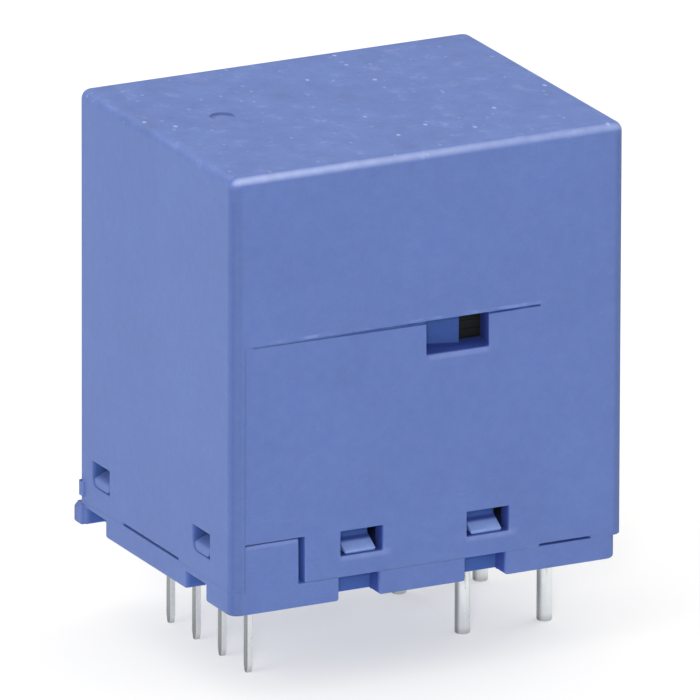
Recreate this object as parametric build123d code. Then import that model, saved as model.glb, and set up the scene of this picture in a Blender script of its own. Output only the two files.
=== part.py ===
from build123d import *

import math
import os

os.makedirs("parts", exist_ok=True)

# A board-mounted hall effect current sensor, in millimetres.
# X runs along the front face, Y into the depth and Z up.
# Z = 0 is at the pin tips, and the case stands on its feet PIN_DROP above them.

# Case
CASE_WIDTH = 19.2
CASE_DEPTH = 15.2
CASE_HEIGHT = 20.0
PIN_DROP = 4.0
WALL = 0.9
ROOF = 1.1
CORNER_R = 0.5
ROOF_EDGE_R = 0.42
INNER_CORNER_R = 0.3

# Seam between the cover and the tray
RIM_HEIGHT = 1.08
SEAM_GAP = 0.02
TRAY_RIGHT_INSET = 0.3
TRAY_FIT = 0.08

# Tray floor and feet
STANDOFF = 0.5
FOOT_BAND = 1.0
FLOOR_TOP = 1.5
HEEL_REACH = 0.2
HEEL_WIDTH = 0.7
HEEL_HEIGHT = 0.95
HEEL_CHAMFER = 0.18
SKIRT_CLEARANCE = 0.08
SKIRT_THICKNESS = 0.4
SKIRT_LAP = 0.3

# Snap windows in the cover, heights above the seating plane
WINDOW_SILL = 2.03
WINDOW_HEIGHT = 1.15
FRONT_WINDOW_WIDTH = 2.08
SIDE_WINDOW_WIDTH = 1.7

# Each window's middle, measured from the nearest corner of the case
FRONT_WINDOW_FROM_LEFT = 6.39
FRONT_WINDOW_FROM_RIGHT = 6.63
LEFT_WINDOW_FROM_FRONT = 3.03
LEFT_WINDOW_FROM_BACK = 2.27
RIGHT_WINDOW_FROM_CORNER = 2.5
SIDE_WINDOW_CORNER_R = 0.4

# Snap hooks on the tray
HOOK_THICKNESS = 0.7
FRONT_HOOK_GAP = 0.29
SIDE_HOOK_GAP = 0.14
SIDE_HOOK_SHIFT = 0.1
HOOK_ABOVE_WINDOW = 0.32
HOOK_LAND = 0.14
HOOK_RISE = 0.42
HOOK_LIFT = 0.04
HOOK_TIP_CHAMFER = 0.23
FRONT_NOSE_REACH = 0.5
FRONT_NOSE_CORNER_R = 0.1
SIDE_NOSE_REACH = 0.97
SIDE_NOSE_CORNER_R = 0.3
SIDE_HOOK_LAND = 0.42

# Notches in the tray's rim, one under each hook
NOTCH_WIDTH = 2.0
SIDE_NOTCH_HEIGHT = 0.8
FRONT_NOTCH_SHIFT = -0.15
SIDE_NOTCH_SHIFT = 0.5

# Front panel, its window and the corner cut-out
PANEL_FROM_LEFT = 0.65
PANEL_FROM_RIGHT = 4.12
PANEL_FROM_TOP = 7.75
PANEL_STEP = 0.04
GROOVE_FROM_PANEL_LEFT = 0.39
GROOVE_HEIGHT = 0.09
GROOVE_DEPTH = 0.22
PORT_FROM_PANEL_RIGHT = 2.51
PORT_FROM_PANEL_TOP = 0.05
PORT_WIDTH = 3.05
PORT_HEIGHT = 1.55
PORT_OPEN_WIDTH = 0.92
PORT_POCKET = 1.1
PORT_BOSS_MARGIN = 0.5
CUTOUT_WIDTH = 2.95
CUTOUT_TOP = 3.2
CUTOUT_SLOT = 0.31
CUTOUT_FIT = 0.03

# Small features of the cover
SEAM_RELIEF = 0.1
FRONT_RELIEF_WIDTH = 2.52
LEFT_RELIEF_FROM_FRONT = 5.27
LEFT_RELIEF_FROM_BACK = 4.5
GATE_FROM_LEFT = 3.8
GATE_Y = 1.0
GATE_R = 0.55
GATE_DEPTH = 0.08
PIP_REACH = 0.09
PIP_FROM_BACK = 0.25
PIP_WIDTH = 0.45
PIP_LOW = 1.3
PIP_HIGH = 2.0

# Secondary pins
SECONDARY_PITCH = 2.54
SECONDARY_COUNT = 4
SECONDARY_FROM_WALL = 1.8
SECONDARY_THICKNESS = 0.25
SECONDARY_WIDTH = 0.4
SECONDARY_POINT = 0.35
SECONDARY_TIP_WIDTH = 0.2
SECONDARY_TOP = 5.2
SLOT_FIT = 0.06

# Primary windings, whose ends are the round pins
WIRE_R = 0.35
WIRE_HOLE_FIT = 0.06
WIRE_GAP = 0.1
WINDING_FIT = 0.175
WINDING_FLOOR_GAP = 0.977
WINDING_ROOF_GAP = 0.577
LEAD_BEND_R = 0.8
WIRE_SIDES = 10

# Core
CORE_STRIP = 1.9
CORE_FROM_WALL = 0.8
CORE_FROM_BOARD = 1.075
CORE_GAP = 1.6
CORE_JOINT = 0.02
CORE_OUTER_R = 0.6
CORE_FIT = 0.05

# Coil former
FORMER_WALL = 0.5
FORMER_CORNER_WALL = 0.25
FLANGE_THICKNESS = 0.45
FLANGE_RIM = 0.125
FLANGE_FROM_WALL = 0.175
FLANGE_CLEARANCE = 0.05
FORMER_FOOT_WIDTH = 3.2
FORMER_SEAT_DEPTH = 0.3

# Circuit board
BOARD_THICKNESS = 0.8
BOARD_FROM_WALL = 0.5
BOARD_FROM_ROOF = 1.3
BOARD_SEAT_DEPTH = 0.4
BOARD_FIT = 0.05
GUIDE_THICKNESS = 0.6
GUIDE_BOTTOM = 6.0

# Posts and ribs that hold the core
POST_SIZE = 1.5
POST_FIT = 0.04
PORT_BOSS_FIT = 0.08
RIB_THICKNESS = 0.8
BACK_PAD_HEIGHT = 4.0
BACK_PAD_WIDTH = 6.0

# Hall element
ELEMENT_LENGTH = 3.0
ELEMENT_HEIGHT = 5.0
ELEMENT_THICKNESS = 1.2
ELEMENT_LEAD_PITCH = 1.27
ELEMENT_LEAD_COUNT = 4
ELEMENT_LEAD_WIDTH = 0.4
ELEMENT_LEAD_THICKNESS = 0.25
ELEMENT_LEAD_HOLE_R = 0.32
ELEMENT_LEAD_PROUD = 0.3
ELEMENT_FACE_CHAMFER = 0.18
ELEMENT_SIDE_CHAMFER = 0.12

# Solder joints
PIN_SOLDER_WIDTH = 1.1
PIN_SOLDER_HEIGHT = 2.4
PIN_SOLDER_PROUD = 0.42
PIN_SOLDER_CHAMFER = 0.29
ELEMENT_SOLDER_R = 0.5
ELEMENT_SOLDER_SIDES = 8
ELEMENT_SOLDER_HEIGHT = 0.22
ELEMENT_SOLDER_TAPER = 40

# Packages on the board, whose long sides carry bent leads
AMPLIFIER = dict(length=3.0, width=3.0, height=1.0, pitch=0.65, span=4.9)
AMPLIFIER_LEAD_COUNTS = (4, 4)
REGULATOR = dict(length=2.9, width=1.3, height=1.0, pitch=1.9, span=2.4)
REGULATOR_LEAD_COUNTS = (1, 2)
PACKAGE_LIFT = 0.1
PACKAGE_LEAD_WIDTH = 0.3
PACKAGE_LEAD_FOIL = 0.15

# Two-ended components on the board
CERAMIC = dict(length=2.0, width=1.25, height=0.85, end_length=0.45)
RESISTOR = dict(length=1.6, width=0.85, height=0.5, end_length=0.35)
END_PROUD = 0.04

# Where the components lie: columns from the board's nearer side edge, rows from its top
# edge or above the seating plane
FRONT_COLUMN = 1.6
FRONT_COLUMN_STEP = 1.9
FEEDBACK_COLUMN = 4.0
REGULATOR_COLUMN = 2.6
BACK_COLUMN = 1.8
OFFSET_COLUMN = 4.0
AMPLIFIER_COLUMN = 2.4
REGULATOR_BELOW_TOP = 3.0
AMPLIFIER_BELOW_TOP = 3.2
SUPPLY_BELOW_TOP = 6.0
RESISTOR_ROW = 6.4
FILTER_ROW = 6.6
GAIN_ROW = 7.9

# Values worked out from the sizes above
SEAT = PIN_DROP
CASE_TOP = SEAT + CASE_HEIGHT
ROOF_Z = CASE_TOP - ROOF
RIM_TOP = SEAT + RIM_HEIGHT
COVER_BOTTOM = RIM_TOP + SEAM_GAP
FLOOR_Z = SEAT + FLOOR_TOP
INNER_WIDTH = CASE_WIDTH - 2 * WALL
INNER_DEPTH = CASE_DEPTH - 2 * WALL
FRONT_Y = -CASE_DEPTH / 2
LEFT_X = -CASE_WIDTH / 2
WINDOW_HEAD = WINDOW_SILL + WINDOW_HEIGHT
PANEL_LEFT = LEFT_X + PANEL_FROM_LEFT
PANEL_RIGHT = -LEFT_X - PANEL_FROM_RIGHT
PANEL_TOP_Z = CASE_TOP - PANEL_FROM_TOP
PORT_RIGHT = PANEL_RIGHT - PORT_FROM_PANEL_RIGHT
PORT_LEFT = PORT_RIGHT - PORT_WIDTH
PORT_HEAD_Z = PANEL_TOP_Z - PORT_FROM_PANEL_TOP
PORT_SILL_Z = PORT_HEAD_Z - PORT_HEIGHT
CUTOUT_RIGHT = PANEL_LEFT + CUTOUT_WIDTH

# The board stands behind the row of flat pins.
SECONDARY_X = -INNER_WIDTH / 2 + SECONDARY_FROM_WALL
SECONDARY_Y = [
    (i - (SECONDARY_COUNT - 1) / 2) * SECONDARY_PITCH for i in range(SECONDARY_COUNT)
]
BOARD_OUTER_X = SECONDARY_X + SECONDARY_THICKNESS / 2
BOARD_INNER_X = BOARD_OUTER_X + BOARD_THICKNESS
BOARD_WIDTH = INNER_DEPTH - 2 * BOARD_FROM_WALL
BOARD_Z = FLOOR_Z - BOARD_SEAT_DEPTH
BOARD_TOP_Z = ROOF_Z - BOARD_FROM_ROOF

# The windings lie round the coil former, and the former round the core's right limb.
BORE_HALF = CORE_STRIP / 2 + CORE_FIT
BARREL_HALF = BORE_HALF + FORMER_WALL
PRIMARY_PITCH_X = 2 * (BARREL_HALF + WINDING_FIT + WIRE_R)
FLANGE_HALF_WIDTH = PRIMARY_PITCH_X / 2 + WIRE_R + FLANGE_RIM
PRIMARY_X = INNER_WIDTH / 2 - FLANGE_FROM_WALL - FLANGE_HALF_WIDTH
CORE_OUTER_Y = INNER_DEPTH / 2 - CORE_FROM_WALL
CORE_INNER_Y = CORE_OUTER_Y - CORE_STRIP
CORE_LIMB_Y = (CORE_INNER_Y + CORE_OUTER_Y) / 2
FLANGE_OUTER_Y = CORE_INNER_Y - CORE_FIT
FLANGE_INNER_Y = FLANGE_OUTER_Y - FLANGE_THICKNESS
PRIMARY_PITCH_Y = 2 * (FLANGE_INNER_Y - FLANGE_CLEARANCE - WIRE_R)

# Each wire takes as many half turns as lie beside each other, an odd number, and steps
# sideways by TURN_STEP on each, so its loops lie in slanted planes.
STEPS_THAT_FIT = math.floor(PRIMARY_PITCH_Y / (2 * WIRE_R + WIRE_GAP))
HALF_TURNS = STEPS_THAT_FIT - (STEPS_THAT_FIT + 1) % 2
TURN_STEP = PRIMARY_PITCH_Y / HALF_TURNS
CHORD = math.hypot(PRIMARY_PITCH_X, TURN_STEP)
LOOP_R = CHORD / 2
END_RISE = math.sqrt((BARREL_HALF - FORMER_CORNER_WALL) ** 2 - BORE_HALF**2)
LOOP_LOW_Z = FLOOR_Z + WINDING_FLOOR_GAP + WIRE_R
LOOP_HIGH_Z = ROOF_Z - WINDING_ROOF_GAP - WIRE_R
BARREL_LOW_Z = LOOP_LOW_Z + LOOP_R
BARREL_HIGH_Z = LOOP_HIGH_Z - LOOP_R

# The core spans from the board to the windings, and stands between the windings' ends.
CORE_Z = BARREL_LOW_Z + CORE_FIT - END_RISE
CORE_TOP_Z = BARREL_HIGH_Z - CORE_FIT + END_RISE
CORE_HEIGHT = CORE_TOP_Z - CORE_Z
CORE_OUTER_LEFT = BOARD_INNER_X + CORE_FROM_BOARD
CORE_LEFT_X = CORE_OUTER_LEFT + CORE_STRIP / 2
CORE_OUTER_RIGHT = PRIMARY_X + CORE_STRIP / 2
ELEMENT_Z = CORE_Z + CORE_HEIGHT / 2


def block(x, y, z):
    """A box between two limits along each axis."""
    size = [limits[1] - limits[0] for limits in (x, y, z)]
    middle = [(limits[0] + limits[1]) / 2 for limits in (x, y, z)]
    return Pos(*middle) * Box(*size)


def prism(outline, low, high):
    """A flat outline in X and Y, raised from one height to another."""
    return extrude(Pos(0, 0, low) * outline, high - low)


def side_prism(outline, y_low, y_high):
    """An outline in X and Z, drawn out along Y."""
    plane = Plane(origin=(0, y_low, 0), x_dir=(1, 0, 0), z_dir=(0, -1, 0))
    return extrude(plane * outline, -(y_high - y_low))


class Snap:
    """One snap point, drawn in the front wall's position and then turned about Z.

    along is its place along the wall, and wall_y the wall's outer face.
    """

    def __init__(self, turn, along, wall_y, window, window_r, hook, notch):
        self.turn = turn
        self.along = along
        self.wall_y = wall_y
        self.window = window
        self.window_r = window_r
        self.hook_along, self.gap, self.nose, self.land, self.corner_r = hook
        self.notch_along, self.notch_top = notch

    def placed(self, shape):
        return Rot(0, 0, self.turn) * shape

    def window_cut(self):
        """The opening through the cover's wall."""
        half = self.window / 2
        opening = block(
            (self.along - half, self.along + half),
            (self.wall_y - WALL, self.wall_y + 2 * WALL),
            (SEAT + WINDOW_SILL, SEAT + WINDOW_HEAD),
        )
        if self.window_r > 0:
            lower = opening.edges().filter_by(Axis.Y).group_by(Axis.Z)[0]
            corner = lower.sort_by(Axis.X)[0 if self.hook_along > self.along else -1]
            opening = fillet(corner, self.window_r)
        return self.placed(opening)

    def notch_cut(self):
        """The notch in the tray's rim below the hook."""
        return self.placed(
            block(
                (self.notch_along - NOTCH_WIDTH / 2, self.notch_along + NOTCH_WIDTH / 2),
                (self.wall_y - WALL, self.wall_y + FOOT_BAND),
                (SEAT - STANDOFF, self.notch_top),
            )
        )

    def skirt(self):
        """The wall that closes the back of the notch down to just above the seat."""
        half = NOTCH_WIDTH / 2 + SKIRT_LAP
        return self.placed(
            block(
                (self.notch_along - half, self.notch_along + half),
                (self.wall_y + FOOT_BAND, self.wall_y + FOOT_BAND + SKIRT_THICKNESS),
                (SEAT + SKIRT_CLEARANCE, SEAT + 2 * STANDOFF),
            )
        )

    def hook(self):
        """The tongue that stands inside the wall, with its ramped nose in the window."""
        face = self.wall_y + WALL + TRAY_FIT
        nose_z = SEAT + WINDOW_SILL + HOOK_LIFT
        half = self.window / 2 - self.gap
        side = Polyline(
            (face, nose_z),
            (face - self.nose, nose_z),
            (face - self.nose, nose_z + self.land),
            (face, nose_z + self.land + HOOK_RISE),
            close=True,
        )
        across = Plane(
            origin=(self.hook_along - half, 0, 0), x_dir=(0, 1, 0), z_dir=(1, 0, 0)
        )
        nose = extrude(across * make_face(side), 2 * half)
        corners = nose.edges().filter_by(Axis.Y).sort_by(Axis.Z)[:2]
        nose = fillet(corners, self.corner_r)
        tongue = block(
            (self.hook_along - half, self.hook_along + half),
            (face, face + HOOK_THICKNESS),
            (FLOOR_Z - WALL / 2, SEAT + WINDOW_HEAD + HOOK_ABOVE_WINDOW),
        )
        tip = tongue.edges().filter_by(Axis.X).group_by(Axis.Z)[-1].sort_by(Axis.Y)[0]
        return self.placed(chamfer(tip, HOOK_TIP_CHAMFER) + nose)


def front_snap(x, turn):
    """A snap point on the front wall, or on the back wall with a half turn."""
    facing = 1 if turn == 0 else -1
    return Snap(
        turn,
        facing * x,
        -CASE_DEPTH / 2,
        FRONT_WINDOW_WIDTH,
        0,
        (facing * x, FRONT_HOOK_GAP, FRONT_NOSE_REACH, HOOK_LAND, FRONT_NOSE_CORNER_R),
        (facing * (x + FRONT_NOTCH_SHIFT), RIM_TOP),
    )


def side_snap(y, turn):
    """A snap point on the left wall (turn -90) or the right wall (turn 90)."""
    facing = 1 if turn == 90 else -1
    return Snap(
        turn,
        facing * y,
        -CASE_WIDTH / 2,
        SIDE_WINDOW_WIDTH,
        SIDE_WINDOW_CORNER_R,
        (
            facing * (y - SIDE_HOOK_SHIFT),
            SIDE_HOOK_GAP,
            SIDE_NOSE_REACH,
            SIDE_HOOK_LAND,
            SIDE_NOSE_CORNER_R,
        ),
        (facing * (y + SIDE_NOTCH_SHIFT), SEAT + SIDE_NOTCH_HEIGHT),
    )


FRONT_WINDOWS = (LEFT_X + FRONT_WINDOW_FROM_LEFT, -LEFT_X - FRONT_WINDOW_FROM_RIGHT)
LEFT_WINDOWS = (FRONT_Y + LEFT_WINDOW_FROM_FRONT, -FRONT_Y - LEFT_WINDOW_FROM_BACK)
RIGHT_WINDOWS = (FRONT_Y + RIGHT_WINDOW_FROM_CORNER, -FRONT_Y - RIGHT_WINDOW_FROM_CORNER)
SNAPS = (
    [front_snap(x, 0) for x in FRONT_WINDOWS]
    + [front_snap(x, 180) for x in FRONT_WINDOWS]
    + [side_snap(y, -90) for y in LEFT_WINDOWS]
    + [side_snap(y, 90) for y in RIGHT_WINDOWS]
)


def cover_shell():
    """The plain box of the cover, with rounded edges and its cavity."""
    outline = RectangleRounded(CASE_WIDTH, CASE_DEPTH, CORNER_R)
    body = prism(outline, COVER_BOTTOM, CASE_TOP)
    body = fillet(body.faces().sort_by(Axis.Z)[-1].edges(), ROOF_EDGE_R)
    cavity = RectangleRounded(INNER_WIDTH, INNER_DEPTH, INNER_CORNER_R)
    return body - prism(cavity, COVER_BOTTOM, ROOF_Z)


def port_boss():
    """The thicker patch of wall behind the panel's window, which also seats the core."""
    return block(
        (PORT_LEFT - PORT_BOSS_MARGIN, PORT_RIGHT + PORT_BOSS_MARGIN),
        (FRONT_Y + WALL, -CORE_OUTER_Y - PORT_BOSS_FIT),
        (PORT_SILL_Z - PORT_BOSS_MARGIN, PORT_HEAD_Z + PORT_BOSS_MARGIN),
    )


def port_cut():
    """The panel's window: a blind pocket whose right part goes on through the wall."""
    z = (PORT_SILL_Z, PORT_HEAD_Z)
    pocket = block((PORT_LEFT, PORT_RIGHT), (FRONT_Y - WALL, FRONT_Y + PORT_POCKET), z)
    through = block(
        (PORT_RIGHT - PORT_OPEN_WIDTH, PORT_RIGHT), (FRONT_Y - WALL, -CORE_OUTER_Y), z
    )
    return pocket + through


def cover_inner_ribs():
    """Ribs under the roof that hold the core down, a back pad and the board's guides."""
    ribs = []
    for x in (CORE_LEFT_X, PRIMARY_X):
        for y in (-CORE_LIMB_Y, CORE_LIMB_Y):
            ribs.append(
                block(
                    (x - RIB_THICKNESS / 2, x + RIB_THICKNESS / 2),
                    (y - CORE_STRIP / 2, y + CORE_STRIP / 2),
                    (CORE_TOP_Z + POST_FIT, ROOF_Z),
                )
            )
    middle = (CORE_LEFT_X + PRIMARY_X) / 2
    pad_z = CORE_Z + CORE_HEIGHT / 2
    ribs.append(
        block(
            (middle - BACK_PAD_WIDTH / 2, middle + BACK_PAD_WIDTH / 2),
            (CORE_OUTER_Y + CORE_FIT, INNER_DEPTH / 2),
            (pad_z - BACK_PAD_HEIGHT / 2, pad_z + BACK_PAD_HEIGHT / 2),
        )
    )
    for side in (-1, 1):
        near = side * (BOARD_WIDTH / 2 - GUIDE_THICKNESS)
        far = side * INNER_DEPTH / 2
        y = (min(near, far), max(near, far))
        for x in (
            BOARD_OUTER_X - BOARD_FIT - GUIDE_THICKNESS,
            BOARD_INNER_X + BOARD_FIT,
        ):
            z = (SEAT + GUIDE_BOTTOM, ROOF_Z)
            ribs.append(block((x, x + GUIDE_THICKNESS), y, z))
    return ribs


def case_cover():
    """The one-piece cover: four walls and a roof, open below."""
    pip = block(
        (LEFT_X - PIP_REACH, LEFT_X + WALL / 2),
        (-FRONT_Y - PIP_FROM_BACK - PIP_WIDTH, -FRONT_Y - PIP_FROM_BACK),
        (SEAT + PIP_LOW, SEAT + PIP_HIGH),
    )
    cover = cover_shell() + port_boss() + cover_inner_ribs() + pip
    panel = block(
        (PANEL_LEFT, PANEL_RIGHT),
        (FRONT_Y - WALL, FRONT_Y + PANEL_STEP),
        (COVER_BOTTOM - WALL, PANEL_TOP_Z),
    )
    cutout = block(
        (PANEL_LEFT, CUTOUT_RIGHT),
        (FRONT_Y - WALL, FRONT_Y + WALL),
        (COVER_BOTTOM - WALL, SEAT + CUTOUT_TOP),
    )
    front_relief = block(
        (PANEL_RIGHT, PANEL_RIGHT + FRONT_RELIEF_WIDTH),
        (FRONT_Y - WALL, FRONT_Y + WALL / 2),
        (COVER_BOTTOM - WALL, COVER_BOTTOM + SEAM_RELIEF),
    )
    left_relief = block(
        (LEFT_X - WALL, LEFT_X + WALL / 2),
        (FRONT_Y + LEFT_RELIEF_FROM_FRONT, -FRONT_Y - LEFT_RELIEF_FROM_BACK),
        (COVER_BOTTOM - WALL, COVER_BOTTOM + SEAM_RELIEF),
    )
    groove = block(
        (PANEL_LEFT + GROOVE_FROM_PANEL_LEFT, PANEL_RIGHT),
        (FRONT_Y - WALL, FRONT_Y + GROOVE_DEPTH),
        (PANEL_TOP_Z - GROOVE_HEIGHT, PANEL_TOP_Z),
    )
    gate = Cylinder(GATE_R, 2 * GATE_DEPTH)
    gate = Pos(LEFT_X + GATE_FROM_LEFT, GATE_Y, CASE_TOP) * gate
    cuts = [panel, groove, port_cut(), cutout, front_relief, left_relief, gate]
    return cover - cuts - [snap.window_cut() for snap in SNAPS]


def tray_floor():
    """The rim that lies flush under the cover, and the floor that fills the cover's mouth."""
    rim_outline = Pos(-TRAY_RIGHT_INSET / 2, 0) * RectangleRounded(
        CASE_WIDTH - TRAY_RIGHT_INSET, CASE_DEPTH, CORNER_R
    )
    hollow = Pos(-TRAY_RIGHT_INSET / 2, 0) * RectangleRounded(
        CASE_WIDTH - TRAY_RIGHT_INSET - 2 * FOOT_BAND,
        CASE_DEPTH - 2 * FOOT_BAND,
        INNER_CORNER_R,
    )
    plug = RectangleRounded(
        INNER_WIDTH - 2 * TRAY_FIT, INNER_DEPTH - 2 * TRAY_FIT, INNER_CORNER_R
    )
    rim = prism(rim_outline, SEAT, RIM_TOP) - prism(hollow, SEAT, SEAT + STANDOFF)
    return rim + prism(plug, SEAT + STANDOFF, FLOOR_Z)


def corner_block():
    """The upright block that fills the cover's corner cut-out, with a slot at its right."""
    right = CUTOUT_RIGHT - CUTOUT_SLOT
    root_left = -(INNER_WIDTH / 2 - TRAY_FIT - INNER_CORNER_R)
    z = (RIM_TOP - STANDOFF, SEAT + CUTOUT_TOP - CUTOUT_FIT)
    outer = block(
        (PANEL_LEFT + CUTOUT_FIT, right),
        (FRONT_Y + PANEL_STEP, FRONT_Y + WALL - CUTOUT_FIT),
        z,
    )
    root = block((root_left, right), (FRONT_Y + WALL / 2, FRONT_Y + WALL + TRAY_FIT), z)
    return outer + root


def tray_holes():
    """Round holes for the primary pins, slots for the secondary pins, and the seats."""
    below, above = SEAT - STANDOFF, FLOOR_Z + STANDOFF
    holes = []
    for x in (-PRIMARY_PITCH_X / 2, PRIMARY_PITCH_X / 2):
        for y in (-PRIMARY_PITCH_Y / 2, PRIMARY_PITCH_Y / 2):
            hole = Pos(PRIMARY_X + x, y) * Circle(WIRE_R + WIRE_HOLE_FIT)
            holes.append(prism(hole, below, above))
    for y in SECONDARY_Y:
        slot = Pos(SECONDARY_X, y) * Rectangle(
            SECONDARY_THICKNESS + 2 * SLOT_FIT, SECONDARY_WIDTH + 2 * SLOT_FIT
        )
        holes.append(prism(slot, below, above))
    board_seat = block(
        (BOARD_OUTER_X - BOARD_FIT, BOARD_INNER_X + BOARD_FIT),
        (-BOARD_WIDTH / 2 - BOARD_FIT, BOARD_WIDTH / 2 + BOARD_FIT),
        (BOARD_Z, above),
    )
    holes.append(board_seat)
    foot_half = FORMER_FOOT_WIDTH / 2 + CORE_FIT
    for side in (-1, 1):
        y = sorted(
            (
                side * (FLANGE_INNER_Y - CORE_FIT / 2),
                side * (FLANGE_OUTER_Y + CORE_FIT / 2),
            )
        )
        z = (FLOOR_Z - FORMER_SEAT_DEPTH, above)
        holes.append(block((PRIMARY_X - foot_half, PRIMARY_X + foot_half), y, z))
    return holes


def core_posts():
    """Two posts on the tray's floor that carry the core's free left limb."""
    posts = []
    for y in (-CORE_LIMB_Y, CORE_LIMB_Y):
        post = Pos(CORE_LEFT_X, y) * Rectangle(POST_SIZE, POST_SIZE)
        posts.append(prism(post, FLOOR_Z - WALL / 2, CORE_Z - POST_FIT))
    return posts


def base_tray():
    """The one-piece tray: floor, feet, rim, corner block, posts and snap hooks."""
    heel = block(
        (LEFT_X - HEEL_REACH, LEFT_X + FOOT_BAND),
        (CASE_DEPTH / 2 - HEEL_WIDTH, CASE_DEPTH / 2),
        (SEAT, SEAT + HEEL_HEIGHT),
    )
    upper_edge = heel.edges().filter_by(Axis.Y).group_by(Axis.Z)[-1].sort_by(Axis.X)[0]
    heel = chamfer(upper_edge, HEEL_CHAMFER)
    tray = tray_floor() + corner_block()
    tray -= [snap.notch_cut() for snap in SNAPS]
    tray += [snap.skirt() for snap in SNAPS] + [snap.hook() for snap in SNAPS]
    tray += core_posts() + [heel]
    return tray - tray_holes()


def secondary_pin(y):
    """One flat pin with a pointed tip, its upper end lying on the board."""
    half = SECONDARY_WIDTH / 2
    tip_half = SECONDARY_TIP_WIDTH / 2
    top = SEAT + SECONDARY_TOP
    outline = Polyline(
        (-tip_half, 0),
        (tip_half, 0),
        (half, SECONDARY_POINT),
        (half, top),
        (-half, top),
        (-half, SECONDARY_POINT),
        close=True,
    )
    plane = Plane(
        origin=(SECONDARY_X - SECONDARY_THICKNESS / 2, y, 0),
        x_dir=(0, 1, 0),
        z_dir=(1, 0, 0),
    )
    return extrude(plane * make_face(outline), SECONDARY_THICKNESS)


class BentWire:
    """A wire drawn as straight runs and bends, each one tangent to the last.

    Its two ends below the case are round pins, and the rest has WIRE_SIDES flats.
    """

    def __init__(self, start):
        self.point = Vector(*start)
        self.heading = Vector(0, 0, 1)
        self.side = Vector(1, 0, 0)
        self.pieces = []

    def section(self, outline):
        plane = Plane(origin=self.point, x_dir=self.side, z_dir=self.heading)
        return plane * outline

    def pin(self, length):
        self.pieces.append(extrude(self.section(Circle(WIRE_R)), length))
        self.point += self.heading * length

    def straight(self, length):
        outline = RegularPolygon(WIRE_R, WIRE_SIDES)
        self.pieces.append(extrude(self.section(outline), length))
        self.point += self.heading * length

    def bend(self, towards, radius, angle):
        """Turns the heading through the angle, curving to the side that is given."""
        outline = RegularPolygon(WIRE_R, WIRE_SIDES)
        centre = self.point + towards * radius
        axis = Axis(centre, self.heading.cross(towards))
        self.pieces.append(revolve(self.section(outline), axis, angle))
        turned = Axis((0, 0, 0), axis.direction)
        self.point = centre + (self.point - centre).rotate(turned, angle)
        self.heading = self.heading.rotate(turned, angle)
        self.side = self.side.rotate(turned, angle)

    def solid(self):
        return self.pieces[0].fuse(*self.pieces[1:])


UP = Vector(0, 0, 1)
TO_RIGHT = Vector(PRIMARY_PITCH_X, TURN_STEP, 0).normalized()
TO_LEFT = Vector(-PRIMARY_PITCH_X, TURN_STEP, 0).normalized()
LEG_LENGTH = BARREL_HIGH_Z - BARREL_LOW_Z


def primary_winding_1():
    """Starts at the front left pin and ends at the back right pin."""
    wire = BentWire((PRIMARY_X - PRIMARY_PITCH_X / 2, -PRIMARY_PITCH_Y / 2, 0))
    lead = BARREL_LOW_Z - SEAT
    wire.pin(PIN_DROP)
    wire.straight(lead + LEG_LENGTH)
    for half_turn in range(HALF_TURNS):
        over = half_turn % 2 == 0
        wire.bend(TO_RIGHT if over else TO_LEFT, LOOP_R, 180)
        last = half_turn == HALF_TURNS - 1
        wire.straight(LEG_LENGTH + lead if last else LEG_LENGTH)
    wire.pin(PIN_DROP)
    return wire.solid()


def primary_winding_2():
    """Starts at the front right pin, lies between the first wire's turns and ends back left."""
    wire = BentWire((PRIMARY_X + PRIMARY_PITCH_X / 2, -PRIMARY_PITCH_Y / 2, 0))
    across = CHORD - LEAD_BEND_R - LOOP_R
    lead = LOOP_LOW_Z - LEAD_BEND_R - SEAT
    wire.pin(PIN_DROP)
    wire.straight(lead)
    wire.bend(TO_LEFT, LEAD_BEND_R, 90)
    wire.straight(across)
    wire.bend(UP, LOOP_R, 90)
    wire.straight(LEG_LENGTH)
    for half_turn in range(1, HALF_TURNS - 1):
        over = half_turn % 2 == 1
        wire.bend(TO_RIGHT if over else TO_LEFT, LOOP_R, 180)
        wire.straight(LEG_LENGTH)
    wire.bend(TO_LEFT, LOOP_R, 90)
    wire.straight(across)
    wire.bend(-UP, LEAD_BEND_R, 90)
    wire.straight(lead)
    wire.pin(PIN_DROP)
    return wire.solid()


def stadium(half_width):
    """An upright rounded slot outline round the core's right limb, in X and Z."""
    height = BARREL_HIGH_Z - BARREL_LOW_Z
    slot = SlotCenterToCenter(height, 2 * half_width, rotation=90)
    return Pos(PRIMARY_X, (BARREL_LOW_Z + BARREL_HIGH_Z) / 2) * slot


def coil_former():
    """The bobbin: a rounded barrel round the core, two flanges and their feet."""
    foot = Pos(PRIMARY_X, (FLOOR_Z - FORMER_SEAT_DEPTH + BARREL_LOW_Z) / 2) * Rectangle(
        FORMER_FOOT_WIDTH, BARREL_LOW_Z - FLOOR_Z + FORMER_SEAT_DEPTH
    )
    bore = Pos(PRIMARY_X, CORE_Z + CORE_HEIGHT / 2) * Rectangle(
        2 * BORE_HALF, CORE_HEIGHT + 2 * CORE_FIT
    )
    flange = stadium(FLANGE_HALF_WIDTH) + foot
    former = side_prism(stadium(BARREL_HALF), -FLANGE_INNER_Y, FLANGE_INNER_Y)
    former += side_prism(flange, -FLANGE_OUTER_Y, -FLANGE_INNER_Y)
    former += side_prism(flange, FLANGE_INNER_Y, FLANGE_OUTER_Y)
    return former - side_prism(bore, -FLANGE_OUTER_Y, FLANGE_OUTER_Y)


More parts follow.
